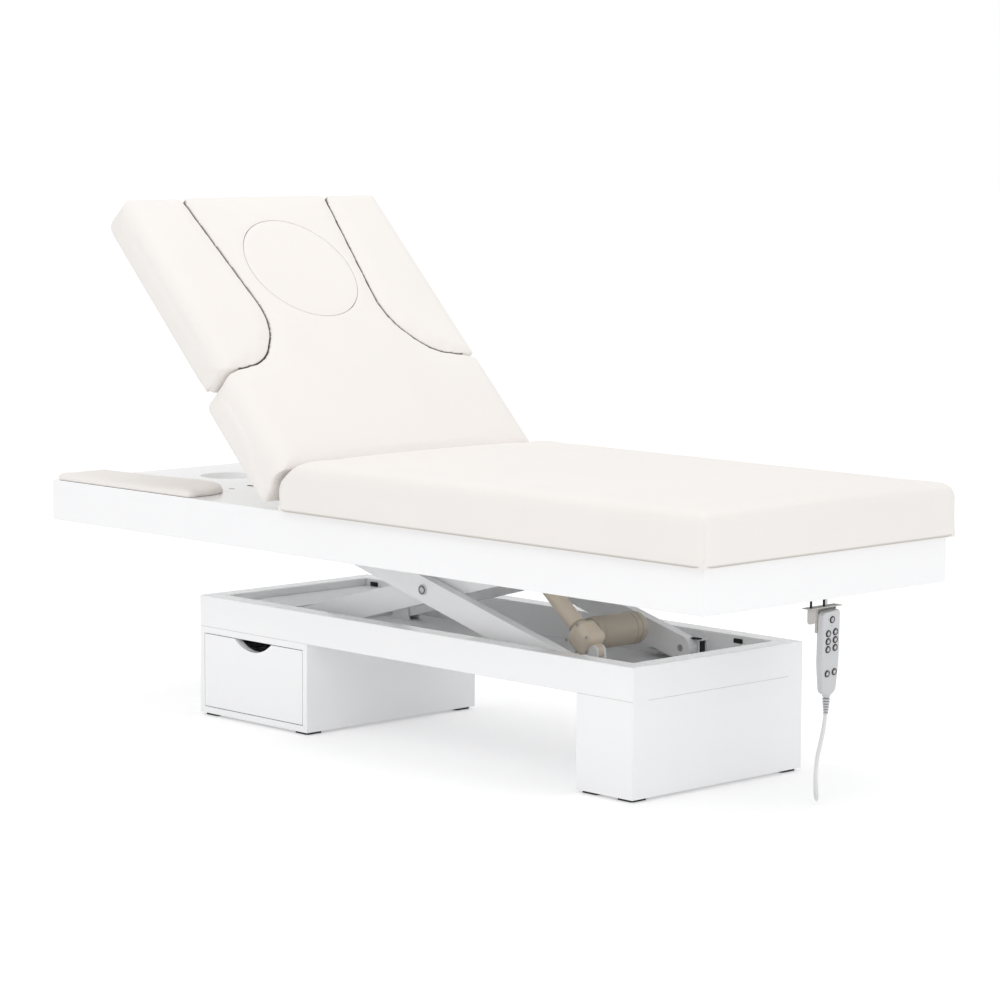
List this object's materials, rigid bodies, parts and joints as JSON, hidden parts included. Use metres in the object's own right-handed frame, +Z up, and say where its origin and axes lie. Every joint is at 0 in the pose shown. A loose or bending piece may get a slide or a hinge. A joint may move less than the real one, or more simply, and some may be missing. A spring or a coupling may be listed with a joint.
{
  "type": "spa bed with cabinet base",
  "caption": "Electric spa and massage bed: scissor-lift base on cabinets with a drawer, tilting backrest with face plug and removable wings, and a wired handset.",
  "frame": {"origin": "centre of the bed's footprint on the floor", "axes": "+X towards the foot end, +Y towards the far long side, the drawer opening towards -Y, +Z up"},
  "size_m": [2.162, 0.804, 1.2112],
  "materials": {
    "lacquer": "gloss white lacquer",
    "melamine": "satin white facing",
    "plywood": "sanded",
    "upholstery": "ivory, soft satin",
    "steel_white": "satin white powder coat",
    "steel_plain": "zinc plated",
    "rod_chrome": "polished",
    "drive_shell": "beige, satin",
    "roller_nylon": "satin",
    "foot_rubber": "matte black",
    "box_black": "fine texture",
    "handset_grey": "satin",
    "button_dark": "satin",
    "relief_rubber": "matte black",
    "cable_white": "satin",
    "hook_grey": "satin grey"
  },
  "bodies": {
    "base": {"foot_pads": "foot_rubber", "drawer_cabinet": "lacquer", "foot_cabinet": "lacquer", "base_side_rails": "lacquer", "base_end_rails": "lacquer", "base_floor": "steel_white", "base_head_shelf": "melamine", "lower_roller_channels": "steel_white", "roller_stop_blocks": "steel_white", "lower_pivot_brackets": "steel_white", "drawer_runners": "steel_plain", "lift_actuator_bracket": "steel_white"},
    "drawer": {"drawer_front": "lacquer", "drawer_box": "melamine"},
    "inner_arms": {"inner_arms": "steel_white", "inner_arm_pins": "steel_plain", "crossing_bolts": "steel_plain"},
    "outer_arms": {"outer_arms": "steel_white", "outer_arm_pins": "steel_plain"},
    "lower_rollers": {"lower_rollers": "roller_nylon"},
    "upper_rollers": {"upper_rollers": "roller_nylon"},
    "top_frame": {"top_side_boards": "lacquer", "top_end_boards": "lacquer", "deck": "lacquer", "upper_roller_channels": "steel_white", "upper_pivot_brackets": "steel_white", "seat_board": "plywood", "seat_cushion": "upholstery", "backrest_hinge_brackets": "steel_white", "arm_pads": "upholstery", "control_box": "box_black", "handset_hook": "hook_grey", "hook_screws": "relief_rubber", "back_actuator_bracket": "steel_white", "handset_cable": "cable_white"},
    "backrest": {"backrest_board": "plywood", "backrest_cushion": "upholstery", "backrest_hinge_leaves": "steel_white", "backrest_lever": "steel_white"},
    "wing_near": {"wing_cushion_near": "upholstery", "wing_plate_near": "plywood"},
    "wing_far": {"wing_cushion_far": "upholstery", "wing_plate_far": "plywood"},
    "face_plug": {"face_plug": "upholstery"},
    "lift_actuator": {"lift_motor": "drive_shell", "lift_tube": "drive_shell"},
    "lift_rod": {"lift_rod": "rod_chrome"},
    "back_actuator": {"back_actuator": "drive_shell"},
    "back_rod": {"back_rod": "rod_chrome"},
    "handset": {"handset_shell": "handset_grey", "handset_strain_relief": "relief_rubber"},
    "button_1": {"button_1": "button_dark"},
    "button_2": {"button_2": "button_dark"},
    "button_3": {"button_3": "button_dark"},
    "button_4": {"button_4": "button_dark"},
    "button_5": {"button_5": "button_dark"},
    "button_6": {"button_6": "button_dark"},
    "button_7": {"button_7": "button_dark"},
    "button_8": {"button_8": "button_dark"},
    "button_9": {"button_9": "button_dark"}
  },
  "joints": [
    {"name": "lift", "type": "hinge", "parent": "base", "child": "inner_arms", "pos_m": [-0.385, 0, 0.246], "axis": [0, -1, 0], "range_deg": [0, 14]},
    {"name": "scissor_crossing", "type": "hinge", "parent": "inner_arms", "child": "outer_arms", "pos_m": [0.05498, 0, 0.3639], "axis": [0, -1, 0], "range_deg": [-28, 0]},
    {"name": "top_level", "type": "hinge", "parent": "outer_arms", "child": "top_frame", "pos_m": [-0.385, 0, 0.4818], "axis": [0, -1, 0], "range_deg": [0, 14]},
    {"name": "backrest_tilt", "type": "hinge", "parent": "top_frame", "child": "backrest", "pos_m": [-0.224, 0, 0.568], "axis": [0, 1, 0], "range_deg": [-45.5, 14.5]},
    {"name": "face_plug_off", "type": "slide", "parent": "backrest", "child": "face_plug", "axis": [0.7132, 0, 0.7009], "range_m": [0, 0.15]},
    {"name": "wing_near_off", "type": "slide", "parent": "backrest", "child": "wing_near", "axis": [0, -1, 0], "range_m": [0, 0.09]},
    {"name": "wing_far_off", "type": "slide", "parent": "backrest", "child": "wing_far", "axis": [0, 1, 0], "range_m": [0, 0.09]},
    {"name": "drawer_slide", "type": "slide", "parent": "base", "child": "drawer", "axis": [0, -1, 0], "range_m": [0, 0.33]},
    {"name": "handset_off", "type": "slide", "parent": "top_frame", "child": "handset", "axis": [0.9945, 0, -0.1045], "range_m": [0, 0.08]},
    {"name": "lift_actuator_swing", "type": "hinge", "parent": "base", "child": "lift_actuator", "pos_m": [0.45, -0.045, 0.257], "axis": [0, -1, 0], "range_deg": [-9.8, 0]},
    {"name": "lift_rod_extend", "type": "slide", "parent": "lift_actuator", "child": "lift_rod", "axis": [-0.7691, 0, 0.6391], "range_m": [0, 0.146]},
    {"name": "back_actuator_swing", "type": "hinge", "parent": "top_frame", "child": "back_actuator", "pos_m": [0.13, 0, 0.482], "axis": [0, -1, 0], "range_deg": [-1, 0.4]},
    {"name": "back_rod_extend", "type": "slide", "parent": "back_actuator", "child": "back_rod", "axis": [-0.9998, 0, 0.0209], "range_m": [-0.062, 0.02]},
    {"name": "lower_roller_spin", "type": "hinge", "parent": "outer_arms", "child": "lower_rollers", "pos_m": [0.49495, 0, 0.246], "axis": [0, 1, 0], "continuous": true},
    {"name": "upper_roller_spin", "type": "hinge", "parent": "inner_arms", "child": "upper_rollers", "pos_m": [0.49495, 0, 0.4818], "axis": [0, 1, 0], "continuous": true},
    {"name": "button_1_press", "type": "slide", "parent": "handset", "child": "button_1", "axis": [-0.9945, 0, 0.1045], "range_m": [0, 0.001], "stiffness_N_per_m": 300, "springref_m": -0.0005},
    {"name": "button_2_press", "type": "slide", "parent": "handset", "child": "button_2", "axis": [-0.9945, 0, 0.1045], "range_m": [0, 0.001], "stiffness_N_per_m": 300, "springref_m": -0.0005},
    {"name": "button_3_press", "type": "slide", "parent": "handset", "child": "button_3", "axis": [-0.9945, 0, 0.1045], "range_m": [0, 0.001], "stiffness_N_per_m": 300, "springref_m": -0.0005},
    {"name": "button_4_press", "type": "slide", "parent": "handset", "child": "button_4", "axis": [-0.9945, 0, 0.1045], "range_m": [0, 0.001], "stiffness_N_per_m": 300, "springref_m": -0.0005},
    {"name": "button_5_press", "type": "slide", "parent": "handset", "child": "button_5", "axis": [-0.9945, 0, 0.1045], "range_m": [0, 0.001], "stiffness_N_per_m": 300, "springref_m": -0.0005},
    {"name": "button_6_press", "type": "slide", "parent": "handset", "child": "button_6", "axis": [-0.9945, 0, 0.1045], "range_m": [0, 0.001], "stiffness_N_per_m": 300, "springref_m": -0.0005},
    {"name": "button_7_press", "type": "slide", "parent": "handset", "child": "button_7", "axis": [-0.9945, 0, 0.1045], "range_m": [0, 0.001], "stiffness_N_per_m": 300, "springref_m": -0.0005},
    {"name": "button_8_press", "type": "slide", "parent": "handset", "child": "button_8", "axis": [-0.9945, 0, 0.1045], "range_m": [0, 0.001], "stiffness_N_per_m": 300, "springref_m": -0.0005},
    {"name": "button_9_press", "type": "slide", "parent": "handset", "child": "button_9", "axis": [-0.9945, 0, 0.1045], "range_m": [0, 0.001], "stiffness_N_per_m": 300, "springref_m": -0.0005}
  ],
  "couplings": [
    {"joint": "scissor_crossing", "follows": "lift", "ratio": -2},
    {"joint": "top_level", "follows": "lift", "ratio": 1},
    {"joint": "lift_actuator_swing", "follows": "lift", "ratio": -0.69},
    {"joint": "lift_rod_extend", "follows": "lift", "m_per_rad": 0.5915},
    {"joint": "back_actuator_swing", "follows": "backrest_tilt", "ratio": 0.02},
    {"joint": "back_rod_extend", "follows": "backrest_tilt", "m_per_rad": 0.077}
  ]
}
